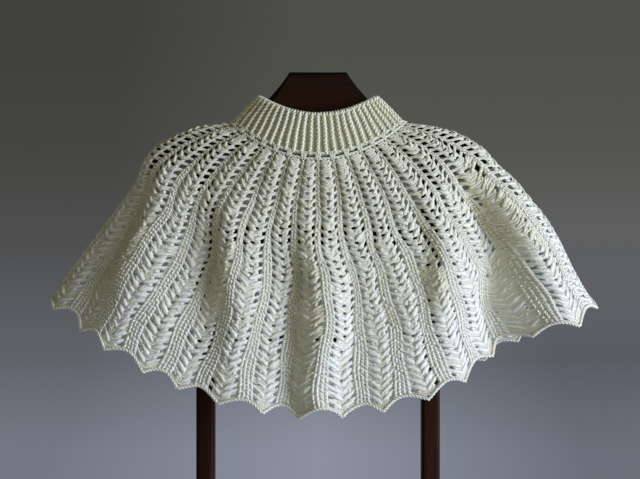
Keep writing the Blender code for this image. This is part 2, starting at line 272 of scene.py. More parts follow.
bodyYarn = yarnFinish("body yarn", yarnLook)
collarYarn = yarnFinish("collar yarn", collarLook)
groundYarn = groundFinish("ground stitches", groundLook)
collarGround = groundFinish("collar ground", collarGroundLook)
woods = {grain: woodFinish("stained wood " + grain, grain) for grain in "xyz"}
print("finishes made:", len(bpy.data.materials))


# Form of the cloth, in metres. The sides are +X and -X, and the front is -Y.

capeForm = {
    "repeats": 32,
    "rounds": 34,
    "scallop": 0.0055,
    "scallopStart": 0.45,
    "sweepPoints": 1441,        # steps that measure a ring's length
    # along, right, left, depth, right height, left height, front height, crowding
    "rings": [
        (0.00, 0.0935, 0.0935, 0.0500, 1.0415, 1.0415, 1.0035, 0.000),
        (0.13, 0.1325, 0.1325, 0.0565, 1.0366, 1.0366, 0.9680, 0.003),
        (0.25, 0.1666, 0.1666, 0.0625, 1.0245, 1.0245, 0.9345, 0.006),
        (0.32, 0.1843, 0.1843, 0.0660, 1.0130, 1.0130, 0.9150, 0.007),
        (0.38, 0.1985, 0.1935, 0.0690, 0.9970, 1.0000, 0.8985, 0.007),
        (0.46, 0.2160, 0.2010, 0.0735, 0.9805, 0.9790, 0.8760, 0.006),
        (0.58, 0.2380, 0.2195, 0.0800, 0.9507, 0.9498, 0.8440, 0.005),
        (0.70, 0.2585, 0.2400, 0.0865, 0.9203, 0.9207, 0.8110, 0.004),
        (0.85, 0.2785, 0.2655, 0.0955, 0.8800, 0.8844, 0.7710, 0.003),
        (1.00, 0.3020, 0.2895, 0.1050, 0.8420, 0.8470, 0.7325, 0.002),
    ],
    # crests and troughs: repeat halfway down, depth there and at the hem, start, where it eases to the hem
    "folds": [
        (0.0, 0.004, 0.000, 0.40, 0.75), (1.3, 0.021, 0.021, 0.25, 0.65),
        (2.4, -0.0175, -0.032, 0.20, 0.58), (4.2, 0.011, 0.005, 0.18, 0.52),
        (4.8, -0.003, 0.003, 0.24, 0.46), (7.1, -0.005, -0.004, 0.20, 0.60),
        (8.05, 0.015, 0.010, 0.16, 0.66), (9.2, -0.004, -0.008, 0.18, 0.64),
        (10.9, 0.013, 0.003, 0.12, 0.55), (12.0, -0.005, -0.002, 0.22, 0.58),
        (14.2, 0.011, 0.005, 0.25, 0.70), (15.1, -0.005, -0.004, 0.32, 0.70),
        (16.1, 0.004, 0.0075, 0.40, 0.75), (17.2, -0.010, -0.007, 0.35, 0.70),
        (18.9, 0.012, 0.005, 0.20, 0.70), (19.8, -0.004, -0.003, 0.30, 0.70),
        (22.0, 0.013, 0.005, 0.10, 0.60), (22.8, -0.007, -0.004, 0.15, 0.60),
        (24.6, 0.012, 0.004, 0.08, 0.70), (25.4, -0.007, -0.004, 0.12, 0.70),
        (27.9, 0.013, 0.005, 0.18, 0.60), (29.0, -0.010, -0.010, 0.30, 0.70),
    ],
    "foldRise": 0.40,           # how far below its start a fold reaches its depth
    "foldEase": 0.30,
    "foldFall": 2.4,            # repeats that a fold crosses on its straight way down, where they slant most
    "foldMiddle": 0.60,
    # repeat, spread, lift at the hem, start
    "lifts": [
        (2.8, 0.9, 0.006, 0.40), (3.0, 2.2, 0.013, 0.45), (13.4, 0.8, 0.002, 0.40),
        (17.3, 0.9, 0.003, 0.42), (29.7, 0.9, 0.005, 0.40),
    ],
    "liftGrowth": 1.4,          # how late a lift grows on its way to the hem
    "liftMost": 1.2,
    # waves around the body, drift on the way down, start, size in repeats
    "wander": [(7, 9.0, 1.3, 0.040), (13, -15.0, 0.5, 0.035), (21, 31.0, 2.2, 0.022)],
    "wanderStart": (0.0, 0.20),
    "shadeSlope": 0.018,
    "troughDepth": 0.025,
    "columnRelief": 0.0025,     # how far the shells stand out between the ribs
    "columnStart": (0.0, 0.10),
    # along, and the share of the relief that is left there
    "flatter": [(0.08, 1.0), (0.25, 0.7), (0.50, 0.5), (1.0, 0.5)],
}
collarForm = {
    "ribs": 54,
    "rings": [
        (0.00, 0.0935, 0.0935, 0.0500, 1.0415, 1.0415, 1.0035, 0.0),
        (0.50, 0.0780, 0.0780, 0.0448, 1.0575, 1.0575, 1.0272, 0.0),
        (1.00, 0.0635, 0.0635, 0.0400, 1.0715, 1.0715, 1.0505, 0.0),
    ],
}
repeats, rounds = capeForm["repeats"], capeForm["rounds"]
half = repeats // 2             # the front is one half of the repeats, and the back the other


def unit(vectors):
    return vectors / np.linalg.norm(vectors, axis=-1, keepdims=True)


def tableAt(table, values, column=1):
    # reads one column of a table by the values in its first column
    rows = np.array(table, float)
    return np.interp(values, rows[:, 0], rows[:, column])


def ringAt(rings, along):
    # smooth curve through the rows of a ring table
    rows = np.array(rings)
    places = rows[:, 0]
    slopes = np.gradient(rows, places, axis=0)
    index = int(np.clip(np.searchsorted(places, along) - 1, 0, len(places) - 2))
    step = places[index + 1] - places[index]
    t = (along - places[index]) / step
    start = (2 * t**3 - 3 * t**2 + 1) * rows[index] + (t**3 - 2 * t**2 + t) * slopes[index] * step
    return start + (3 * t**2 - 2 * t**3) * rows[index + 1] + (t**3 - t**2) * slopes[index + 1] * step


def ringPoints(ring, angles):
    _, right, left, depth, rightHigh, leftHigh, frontHigh, _ = ring
    side, front = np.cos(angles), np.sin(angles)
    reach = np.where(side > 0.0, right, left)
    sideHigh = np.where(side > 0.0, rightHigh, leftHigh)
    height = sideHigh * side**2 + frontHigh * front**2
    outward = np.stack([side / reach, -front / depth, np.zeros_like(side)], axis=-1)
    return np.stack([reach * side, -depth * front, height], axis=-1), unit(outward)


def evenAngles(ring, turns):
    sweep = np.linspace(0.0, math.tau, capeForm["sweepPoints"])
    steps = np.linalg.norm(np.diff(ringPoints(ring, sweep)[0], axis=0), axis=1)
    lengths = np.concatenate([[0.0], np.cumsum(steps)])
    crowded = np.mod(turns + ring[-1] * np.sin(2.0 * math.tau * turns), 1.0)
    return np.interp(crowded, lengths / lengths[-1], sweep)


def smoothStep(value, low, high):
    share = np.clip((value - low) / (high - low), 0.0, 1.0)
    return share * share * (3.0 - 2.0 * share)


def foldMoves(along, places):
    rows = np.array(capeForm["folds"])
    low = smoothStep(along, rows[:, 4], rows[:, 4] + capeForm["foldEase"])
    grown = smoothStep(along, rows[:, 3], rows[:, 3] + capeForm["foldRise"])
    depths = grown * (rows[:, 1] + (rows[:, 2] - rows[:, 1]) * low)
    slant = np.sin(2.0 * math.tau * (rows[:, 0] / repeats - 0.25))
    spots = rows[:, 0] - capeForm["foldFall"] * (along - capeForm["foldMiddle"]) * slant
    spots = np.append(spots, spots[0] + repeats)
    depths = np.append(depths, depths[0])
    turned = np.mod(places - spots[0], repeats) + spots[0]
    index = np.clip(np.searchsorted(spots, turned, side="right") - 1, 0, len(rows) - 1)
    share = smoothStep(turned, spots[index], spots[index + 1])
    depth = depths[index] + (depths[index + 1] - depths[index]) * share
    lift = np.zeros_like(places)
    for repeat, spread, hemLift, start in capeForm["lifts"]:
        away = np.mod(places - repeat + half, repeats) - half
        risen = np.clip((along - start) / (1.0 - start), 0.0, capeForm["liftMost"]) ** capeForm["liftGrowth"]
        lift += hemLift * risen * np.exp(-((away / spread) ** 2))
    return depth, lift


def reliefAt(alongs):
    return tableAt(capeForm["flatter"], alongs)


def wander(along, places):
    # small wandering of the stitch lines, in repeats
    moved = np.zeros_like(places)
    for waves, drift, start, size in capeForm["wander"]:
        moved += size * np.sin(waves * math.tau * places / repeats + drift * along + start)
    return moved * smoothStep(along, *capeForm["wanderStart"])


def bodyRing(along, places):
    ring = ringAt(capeForm["rings"], along)
    points, outward = ringPoints(ring, evenAngles(ring, (places + wander(along, places)) / repeats))
    depth, lift = foldMoves(along, places)
    column = np.sin(math.pi * places) ** 2 * smoothStep(along, *capeForm["columnStart"])
    depth = depth + capeForm["columnRelief"] * column * reliefAt(along)
    points = points + outward * depth[:, None]
    points[:, 2] += lift
    return points


def collarRing(along, places):
    ring = ringAt(collarForm["rings"], along)
    return ringPoints(ring, evenAngles(ring, places / repeats))[0]


def scallopGrowth(alongs):
    return np.maximum(0.0, alongs - capeForm["scallopStart"]) / (1.0 - capeForm["scallopStart"])


def roundWave(along, places):
    # low down, each round dips under a shell and arches over a rib
    return capeForm["scallop"] * scallopGrowth(along) * (1.0 - 2.0 * np.abs(np.cos(math.pi * places)))


def noWave(along, places):
    return np.zeros_like(places)


class ClothNet:
    # a fine net over one ring of cloth, which gives the point of any stitch

    def __init__(self, ringOf, wave, first, last, rings, perRepeat):
        self.first, self.step, self.perRepeat = first, (last - first) / (rings - 1), perRepeat
        alongs = np.linspace(first, last, rings)
        places = np.arange(repeats * perRepeat) / perRepeat
        points = np.array([ringOf(along, places) for along in alongs])
        onward = unit(np.gradient(points, axis=0))
        around = np.roll(points, -1, axis=1) - np.roll(points, 1, axis=1)
        outward = unit(np.cross(onward, around))
        centre = points.mean(axis=1, keepdims=True)
        if np.sum((points - centre) * outward) < 0.0:
            outward = -outward
        self.alongs, self.places = alongs, places
        self.points = points + onward * self.table(wave)
        self.outward = outward
        self.widths = np.linalg.norm(np.diff(points, axis=1), axis=-1).sum(axis=1) / repeats

    def table(self, function):
        return np.array([function(along, self.places) for along in self.alongs])[..., None]

    def read(self, table, places, alongs):
        rings, columns = table.shape[:2]
        column = np.mod(places, repeats) * self.perRepeat
        ring = np.clip((alongs - self.first) / self.step, 0.0, rings - 1.001)
        c, r = np.floor(column).astype(int), np.floor(ring).astype(int)
        u, v = (column - c)[..., None], (ring - r)[..., None]
        c, beside = c % columns, (c + 1) % columns
        upper = table[r, c] * (1 - u) + table[r, beside] * u
        lower = table[r + 1, c] * (1 - u) + table[r + 1, beside] * u
        return upper * (1 - v) + lower * v

    def place(self, places, alongs, heights):
        outward = unit(self.read(self.outward, places, alongs))
        return self.read(self.points, places, alongs) + outward * heights[..., None], outward

    def width(self, alongs):
        return np.interp(alongs, self.alongs, self.widths)


def foldShade(along, places):
    # up to 1 on the left flanks of the folds, which turn away from the light, and in their troughs: where
    # shade is painted into the yarn, and where holes close and strands thin
    depth = foldMoves(along, places)[0]
    slope = (depth - np.roll(depth, -1)) * bodyNet.perRepeat
    shade = slope / capeForm["shadeSlope"] - depth / capeForm["troughDepth"]
    return np.clip(shade, 0.0, 1.0)


netShape = {
    "body": {"first": -0.06, "last": 1.05, "rings": 150, "perRepeat": 16},
    "collar": {"first": -0.10, "last": 1.06, "rings": 40, "perRepeat": 12},
}
bodyNet = ClothNet(bodyRing, roundWave, **netShape["body"])
bodyNet.shade = bodyNet.table(foldShade)
collarNet = ClothNet(collarRing, noWave, **netShape["collar"])
print("cloth nets made, hem", round(float(bodyNet.width(1.0)) * repeats, 3), "m round")


# Making meshes

def meshFrom(bm, name):
    mesh = bpy.data.meshes.new(name)
    bm.to_mesh(mesh)
    bm.free()
    mesh.shade_smooth()
    return mesh


def showPiece(name, mesh, finish):
    piece = bpy.data.objects.new(name, mesh)
    bpy.context.scene.collection.objects.link(piece)
    mesh.materials.clear()
    mesh.materials.append(finish)
    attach(piece, "root")
    return piece


def layCloth(bm, points, maps):
    # puts a flat grid on the cloth, with each vertex's stitch place as its UV
    uvLayer = bm.loops.layers.uv.new("stitches")
    mapOf = dict(zip(bm.verts, maps))
    for face in bm.faces:
        for loop in face.loops:
            loop[uvLayer].uv = mapOf[loop.vert]
    for vert, point in zip(bm.verts, points):
        vert.co = point
    return mapOf


def clothPiece(name, bm, finish, thick):
    bmesh.ops.recalc_face_normals(bm, faces=bm.faces)
    piece = showPiece(name, meshFrom(bm, name), finish)
    wall = piece.modifiers.new("cloth thickness", "SOLIDIFY")
    wall.thickness = thick
    wall.offset = 0.0
    return piece


class YarnHeap:
    # many strands of yarn, gathered as arrays and joined in one mesh

    tipReach = 0.8              # how far a strand's end bulges, for its radius

    def __init__(self, sides, flat=1.0):
        self.sides = sides
        self.flat = flat            # a strand's height for its width
        self.points, self.corners, self.starts, self.maps, self.tones = [], [], [], [], []
        self.pointCount = 0
        self.cornerCount = 0

    def add(self, centres, outward, radii, tones):
        # centres: strand, ring, xyz
        count, rings = centres.shape[:2]
        sides = self.sides
        ahead = unit(np.gradient(centres, axis=1))
        beside = unit(np.cross(ahead, outward))
        upward = np.cross(beside, ahead)
        turn = np.arange(sides) * (math.tau / sides)
        spokes = (
            np.cos(turn)[None, None, :, None] * upward[:, :, None, :] * self.flat
            + np.sin(turn)[None, None, :, None] * beside[:, :, None, :]
        )
        skin = centres[:, :, None, :] + spokes * radii[:, :, None, None]
        startTip = centres[:, 0] - ahead[:, 0] * radii[:, :1] * self.tipReach
        endTip = centres[:, -1] + ahead[:, -1] * radii[:, -1:] * self.tipReach
        points = np.concatenate([skin.reshape(count, -1, 3), startTip[:, None], endTip[:, None]], axis=1)

        j = np.arange(sides)
        beyond = (j + 1) % sides
        rows = np.arange(rings - 1)[:, None] * sides
        wallCorners = [rows + j, rows + beyond, rows + sides + beyond, rows + sides + j]
        walls = np.stack(wallCorners, axis=-1).reshape(-1, 4)
        last = (rings - 1) * sides
        tipIndex = rings * sides
        startFan = np.stack([beyond, j, np.full(sides, tipIndex)], axis=-1)
        endFan = np.stack([last + j, last + beyond, np.full(sides, tipIndex + 1)], axis=-1)
        strandCorners = np.concatenate([walls.ravel(), startFan.ravel(), endFan.ravel()])
        faceSizes = np.concatenate([np.full(len(walls), 4), np.full(2 * sides, 3)])
        strandStarts = np.concatenate([[0], np.cumsum(faceSizes)[:-1]])

        stretch = np.linalg.norm(np.diff(centres, axis=1), axis=-1)
        lengths = np.concatenate([np.zeros((count, 1)), np.cumsum(stretch, axis=1)], axis=1)
        ringOf = np.concatenate([np.repeat(np.arange(rings), sides), [0, rings - 1]])[strandCorners]
        across = np.concatenate(
            [
                np.stack([j, j + 1, j + 1, j], axis=-1)[None].repeat(rings - 1, axis=0).ravel(),
                np.stack([j + 1, j, j + 0.5], axis=-1).ravel(),
                np.stack([j, j + 1, j + 0.5], axis=-1).ravel(),
            ]
        ) / sides
        maps = np.stack([lengths[:, ringOf], np.broadcast_to(across, (count, len(across)))], axis=-1)

        offsets = self.pointCount + np.arange(count)[:, None] * points.shape[1]
        cornerOffsets = self.cornerCount + np.arange(count)[:, None] * len(strandCorners)
        self.points.append(points.reshape(-1, 3))
        self.corners.append((strandCorners[None] + offsets).ravel())
        self.starts.append((strandStarts[None] + cornerOffsets).ravel())
        self.maps.append(maps.reshape(-1, 2))
        self.tones.append(np.repeat(tones, points.shape[1]))
        self.pointCount += count * points.shape[1]
        self.cornerCount += count * len(strandCorners)

    def mesh(self, name):
        mesh = bpy.data.meshes.new(name)
        points = np.concatenate(self.points).astype(np.float32)
        corners = np.concatenate(self.corners).astype(np.int32)
        starts = np.concatenate(self.starts).astype(np.int32)
        mesh.vertices.add(len(points))
        mesh.vertices.foreach_set("co", points.ravel())
        mesh.loops.add(len(corners))
        mesh.loops.foreach_set("vertex_index", corners)
        mesh.polygons.add(len(starts))
        mesh.polygons.foreach_set("loop_start", starts)
        uvLayer = mesh.uv_layers.new(name="yarn")
        uvLayer.data.foreach_set("uv", np.concatenate(self.maps).astype(np.float32).ravel())
        tone = mesh.attributes.new("tone", "FLOAT", "POINT")
        tone.data.foreach_set("value", np.concatenate(self.tones).astype(np.float32))
        mesh.update(calc_edges=True)
        mesh.validate()
        mesh.shade_smooth()
        return mesh

    def piece(self, name, finish, slot):
        return showPiece(name, self.mesh(name), finish)


# Body ground: the thin layer of stitches behind the raised yarn, with its eyelets open

groundCut = {
    "thick": 0.0008,
    "lines": [0.0, 0.085, 0.17, 0.235, 0.30, 0.38, 0.45, 0.55, 0.62, 0.70, 0.765, 0.83, 0.915],
    "rowLines": [0.0, 0.18, 0.44, 0.78],
    "ribHeight": 0.0008,
    # along, and the height of a shell's ground there
    "shellHeight": [(0.0, 0.0025), (0.32, 0.0024), (0.55, 0.0021), (1.0, 0.0021)],
    "shellFoot": 0.30,          # away from the shell's middle, where its ground starts to rise
    "shellTop": 0.15,
    "dot": (0.45, 0.55),        # small hole in the middle of a shell, in the lower half of a round
    "dotRounds": (2, 30),
    # along, and half a dot's width there
    "dotHalf": [(0.0, 0.105), (0.30, 0.095), (0.60, 0.048), (1.0, 0.042)],
    # along, and the share of the holes that the yarn closes: eyelets and dots
    "closed": [(0.0, 0.0, 0.0), (0.35, 0.0, 0.20), (0.60, 0.15, 0.45), (1.0, 0.15, 0.50)],
    "closedInShade": 0.60,
    "shadeFrom": 0.3,
    "cut": (0.71, 0.30),
    "cutArea": 0.141,
}
chevron = {
    # along, and the fall of a shell's strands for each step across
    "slope": [(0.0, 0.95), (0.20, 0.75), (0.45, 0.50), (1.0, 0.47)],
    "reach": 0.34,
    "rowHeight": 0.0088,
    "hemFade": 12.0,            # how fast the fall ends at the hem
    "drawn": (0.17, 0.30),      # an eyelet's edges, as the tables of stitches have them
    # along, place of the eyelet's middle in a repeat, half its width
    "eyelets": [(0.0, 0.170, 0.100), (0.15, 0.190, 0.122), (0.35, 0.205, 0.094), (0.5, 0.215, 0.056),
                (0.75, 0.235, 0.048), (1.0, 0.250, 0.058)],
    # along, and how wide the front's eyelets are for the sides'
    "frontShare": [(0.0, 0.58), (0.30, 0.62), (0.55, 1.0)],
}


def chevronDrop(fractions, alongs):
    # how far a shell's middle hangs below its flanks, in rounds, beyond what the scallops give
    reach = chevron["reach"]
    scallopFall = capeForm["scallop"] * scallopGrowth(alongs) * 2.0 * math.cos(math.pi * (0.5 - reach))
    wanted = tableAt(chevron["slope"], alongs) * reach * bodyNet.width(alongs)
    share = np.clip(1.0 - np.abs(fractions - 0.5) / reach, 0.0, 1.0)
    fade = np.clip((1.0 - alongs) * chevron["hemFade"], 0.0, 1.0)
    return np.maximum(0.0, wanted - scallopFall) / chevron["rowHeight"] * share * fade


def stretchAt(wholes, alongs):
    # holes are widest at the two sides, where the cloth is stretched over the yoke
    share = tableAt(chevron["frontShare"], alongs)
    return share + (1.0 - share) * np.cos(math.tau * (wholes + 0.5) / repeats) ** 2


def eyeletEdges(wholes, alongs):
    middle = tableAt(chevron["eyelets"], alongs)
    halfWide = tableAt(chevron["eyelets"], alongs, column=2) * stretchAt(wholes, alongs)
    return middle - halfWide, middle + halfWide


def warped(wholes, fractions, alongs):
    # moves the eyelets' edges from where they are drawn to where they are at this round
    near, far = eyeletEdges(wholes, alongs)
    drawnNear, drawnFar = chevron["drawn"]
    fromRib = 0.5 - np.abs(fractions - 0.5)
    inRib = fromRib * near / drawnNear
    inEyelet = near + (fromRib - drawnNear) * (far - near) / (drawnFar - drawnNear)
    inShell = 0.5 - (0.5 - fromRib) * (0.5 - far) / (0.5 - drawnFar)
    moved = np.where(fromRib < drawnNear, inRib, np.where(fromRib < drawnFar, inEyelet, inShell))
    return np.where(fractions < 0.5, moved, 1.0 - moved)


def shadeAt(places, alongs):
    return bodyNet.read(bodyNet.shade, places, alongs)[..., 0]


def closedHoles():
    # which eyelets (left and right of a shell) and middle dots are closed, by repeat and round
    alongs = np.broadcast_to((np.arange(rounds) + 0.5) / rounds, (repeats, rounds))
    places = np.broadcast_to((np.arange(repeats) + 0.5)[:, None], (repeats, rounds))
    shade = shadeAt(places, alongs) * (alongs > groundCut["shadeFrom"])
    shares = [tableAt(groundCut["closed"], alongs, column) for column in (1, 1, 2)]
    limits = np.stack(shares, axis=-1) + groundCut["closedInShade"] * shade[..., None]
    return rng.random((repeats, rounds, 3)) < limits


closed = closedHoles()


def isHole(centre):
    # whether a face of the ground lies in an open eyelet or dot, or in the slit under the collar
    place, row = centre
    fraction, rise = centre % 1.0
    fromRib = 0.5 - abs(fraction - 0.5)
    near, far = chevron["drawn"]
    _, top, middle, low = groundCut["rowLines"]
    firstDot, lastDot = groundCut["dotRounds"]
    closedLeft, closedRight, closedDot = closed[int(place), int(row)]
    closedEyelet = closedLeft if fraction < 0.5 else closedRight
    inSlit = row < top and fromRib > near
    inEyelet = near < fromRib < far and top < rise < low
    inDot = fromRib > groundCut["dot"][0] and firstDot < row < lastDot and middle < rise < low
    return inSlit or (inEyelet and not closedEyelet) or (inDot and not closedDot)


def groundSheet(name, firstRepeat, lastRepeat):
    cut = groundCut
    lines = np.array([k + f for k in range(firstRepeat, lastRepeat) for f in cut["lines"]] + [lastRepeat])
    rows = np.array([i + r for i in range(rounds) for r in cut["rowLines"]] + [rounds])
    bm = bmesh.new()
    bmesh.ops.create_grid(bm, x_segments=len(lines) - 1, y_segments=len(rows) - 1, size=0.5)
    spots = np.array([vert.co[:2] for vert in bm.verts]) + 0.5
    places = lines[np.rint(spots[:, 0] * (len(lines) - 1)).astype(int)]
    rowPlaces = rows[np.rint(spots[:, 1] * (len(rows) - 1)).astype(int)]
    drawnAlongs = rowPlaces / rounds
    wholes, fractions = np.floor(places), np.mod(places, 1.0)
    dotHalf = tableAt(cut["dotHalf"], drawnAlongs) * stretchAt(wholes, drawnAlongs)
    atDot = np.isin(fractions.round(3), cut["dot"])
    fractions = np.where(atDot, 0.5 + np.sign(fractions - 0.5) * dotHalf, fractions)
    shell = 1.0 - smoothStep(np.abs(fractions - 0.5), cut["shellTop"], cut["shellFoot"])
    raised = (tableAt(cut["shellHeight"], drawnAlongs) - cut["ribHeight"]) * reliefAt(drawnAlongs)
    shifted = wholes + warped(wholes, fractions, drawnAlongs)
    alongs = (rowPlaces + chevronDrop(fractions, drawnAlongs)) / rounds
    points, _ = bodyNet.place(shifted, alongs, cut["ribHeight"] + raised * shell)
    spotOf = layCloth(bm, points, np.stack([places, rowPlaces], axis=-1))
    holes = [face for face in bm.faces if isHole(np.mean([spotOf[vert] for vert in face.verts], axis=0))]
    bmesh.ops.delete(bm, geom=holes, context="FACES")
    return clothPiece(name, bm, groundYarn, cut["thick"])


groundFront = groundSheet("body_ground_front", 0, half)
groundBack = groundSheet("body_ground_back", half, repeats)
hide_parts("body_front")
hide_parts("body_back")
print("body ground made:", len(groundFront.data.polygons) + len(groundBack.data.polygons), "faces")


# Body yarn: the strands of every stitch. Fraction of a repeat, share of a round, height and radius in mm.

stitches = {
    "sectorRepeats": 4,
    # along, and the yarn's tone there: painted shade, darker and more olive higher up, towards the collar
    "tones": {
        "shell": [(0.0, 0.65), (0.3, 0.45), (0.6, 0.10), (0.85, 0.0)],
        "bars": [(0.0, 0.60), (0.35, 0.45), (0.6, 0.20)],
    },
    "toneSpread": 0.25,
    "sides": 5,
    "flat": 0.46,
    "slim": 0.45,               # how slim the yarn is drawn where a repeat is very narrow
    "fullWidth": 0.030,
    "shake": {"fraction": 0.018, "row": 0.065, "height": 0.00030, "radius": 0.13},
    "knobs": {"row": 0.045, "height": 0.00035, "radius": 0.20},
    "thinnest": 0.5,            # no knob thins the yarn below this share
    "fillerFrom": 0.28,         # no short strands lie above this
    "shadeThin": 0.15,          # how much finer the strands are in the shaded flanks
    "barsFrom": 0.50,           # high up, nothing but the shell's own strand crosses between eyelets
    # along, and how slim a strand is drawn between two eyelets
    "neck": [(0.0, 0.45), (0.35, 0.52), (0.65, 1.0)],
    "neckEnd": (0.24, 0.32),
    # along, and the fullness of the long strands and of the short ones between them
    "strand": [(0.0, 0.80), (0.28, 0.84), (0.50, 0.96), (0.65, 0.98), (1.0, 0.95)],
    "filler": [(0.0, 1.00), (0.35, 1.05), (0.60, 1.10), (0.85, 0.88), (1.0, 0.88)],
    # along, and the painted shade on the flanks of the folds: a darker, warmer yarn tone where light comes
    # only through the yarn
    "shadeTone": [(0.0, 0.60), (0.70, 0.60), (0.95, 0.20)],
    "shell": [
        [(0.115, -0.24, 1.0, 1.00), (0.17, -0.17, 1.9, 1.60), (0.24, -0.08, 2.6, 2.10),
         (0.310, 0.00, 3.1, 2.60), (0.38, 0.06, 3.3, 2.90), (0.45, 0.10, 3.2, 2.70),
         (0.500, 0.12, 2.9, 2.10)],
        [(0.300, 0.44, 2.2, 1.60), (0.33, 0.48, 2.8, 2.30), (0.355, 0.52, 3.0, 2.20),
         (0.375, 0.55, 2.8, 1.70), (0.39, 0.57, 2.3, 1.10)],
    ],
    "bar": [(0.110, 0.02, 1.0, 0.80), (0.17, 0.08, 1.4, 1.00), (0.24, 0.15, 1.9, 1.10),
            (0.312, 0.22, 2.3, 1.10)],
    "hemThin": 0.06,            # how much thinner the yarn looks in the last, stretched rounds
    "hemThinFrom": 0.80,
    "firstRow": 0.3,            # nothing but the seam's own chain lies above this
}
ribStitch = {
    "starts": [(0, 1), (7, 2), (14, 3), (24, 4)],              # round, and columns of stitches from there
    "steps": [0, 1, -1, 2],                                    # place of each column from the middle
    "perRound": 2,
    "long": 0.50,
    "lean": (0.75, -0.60),      # sideways, in columns, for every other column
    "wobble": 0.09,
    "heights": (0.0010, 0.0019, 0.0012),
    "plump": (0.50, 1.1, 0.50),
    "fit": 0.41,                # radius for the width of a column
    "radius": (0.0008, 0.0021),
    "firstAlong": 0.004,
    "toneSpread": 0.25,
    # along, and the ribs' tone there: painted shade, darker and more olive higher up, towards the collar
    "tones": [(0.0, 0.65), (0.35, 0.40), (0.6, 0.15), (1.0, 0.0)],
    "sides": 4,
    "flat": 0.75,
}


def slimming(alongs):
    share = np.clip(bodyNet.width(alongs) / stitches["fullWidth"], 0.0, 1.0)
    thinner = 1.0 - stitches["hemThin"] * smoothStep(alongs, stitches["hemThinFrom"], 1.0)
    return (stitches["slim"] + (1.0 - stitches["slim"]) * share) * thinner


# painted shade: darkens the yarn's tone on the folds' shaded flanks and in their troughs
def shadeTones(places, alongs):
    return tableAt(stitches["shadeTone"], alongs) * shadeAt(places, alongs)


def layStrand(heap, controls, tone, full, wholes, rows, mirrored):
    across, down, high, thick = np.array(controls).T
    shake = stitches["shake"]
    count = len(wholes)
    fractions = across + rng.normal(0.0, shake["fraction"], (count, 1))
    if mirrored:
        fractions = 1.0 - fractions
    knobs = {kind: rng.normal(0.0, size, (count, len(across))) for kind, size in stitches["knobs"].items()}
    rowPlaces = rows[:, None] + down + rng.normal(0.0, shake["row"], (count, 1)) + knobs["row"]
    drawnAlongs = rowPlaces / rounds
    fractions = warped(wholes[:, None], fractions, drawnAlongs)
    places = wholes[:, None] + fractions
    alongs = (rowPlaces + chevronDrop(fractions, drawnAlongs)) / rounds
    slim = slimming(drawnAlongs)
    heights = high / 1000.0 + rng.normal(0.0, shake["height"], (count, 1)) + knobs["height"]
    centres, outward = bodyNet.place(places, alongs, heights * slim * reliefAt(drawnAlongs))
    radii = thick / 1000.0 * slim * (1.0 + rng.normal(0.0, shake["radius"], (count, 1)))
    radii = radii * tableAt(full, drawnAlongs) * np.maximum(stitches["thinnest"], 1.0 + knobs["radius"])
    neck = tableAt(stitches["neck"], drawnAlongs)
    radii = radii * (neck + (1.0 - neck) * smoothStep(across, *stitches["neckEnd"]))
    radii = radii * (1.0 - stitches["shadeThin"] * shadeAt(places, alongs))
    # painted shade: the tone tables darken the yarn higher up, and shadeTones darkens it on the folds'
    # shaded flanks
    tones = tableAt(tone, rows / rounds) + rng.uniform(0.0, stitches["toneSpread"], count)
    heap.add(centres, outward, radii, tones + shadeTones(wholes + 0.5, rows / rounds))


def bodySector(name, firstRepeat, lastRepeat):
    heap = YarnHeap(stitches["sides"], stitches["flat"])
    wholes, rows = np.meshgrid(np.arange(firstRepeat, lastRepeat), np.arange(rounds), indexing="ij")
    wholes, rows = wholes.ravel().astype(float), rows.ravel().astype(float)
    tones = stitches["tones"]
    longStrand, shortStrand = stitches["shell"]
    strands = [
        (longStrand, tones["shell"], stitches["strand"], stitches["firstRow"]),
        (shortStrand, tones["shell"], stitches["filler"], stitches["fillerFrom"] * rounds),
        (stitches["bar"], tones["bars"], stitches["strand"], stitches["barsFrom"] * rounds),
    ]
    for controls, tone, full, firstRow in strands:
        clear = rows + controls[0][1] > firstRow
        for mirrored in (False, True):
            layStrand(heap, controls, tone, full, wholes[clear], rows[clear], mirrored)
    return heap.piece(name, bodyYarn, "body_yarn")


def ribPlaces(order, wholes, rowPlaces):
    # columns of rib stitches stand even between the eyelet lines, and their number grows downward
    count = tableAt(ribStitch["starts"], rowPlaces)
    steps = np.array(ribStitch["steps"], float)
    present = np.clip(count[..., None] - np.arange(len(steps)), 0.0, 1.0)
    middle = (present * steps).sum(axis=-1) / present.sum(axis=-1)
    alongs = np.clip(rowPlaces / rounds, 0.0, 1.0)
    spacing = 2.0 * eyeletEdges(wholes - 0.5, alongs)[0] / np.maximum(count, 1.0)
    return (steps[order] - middle) * spacing, spacing


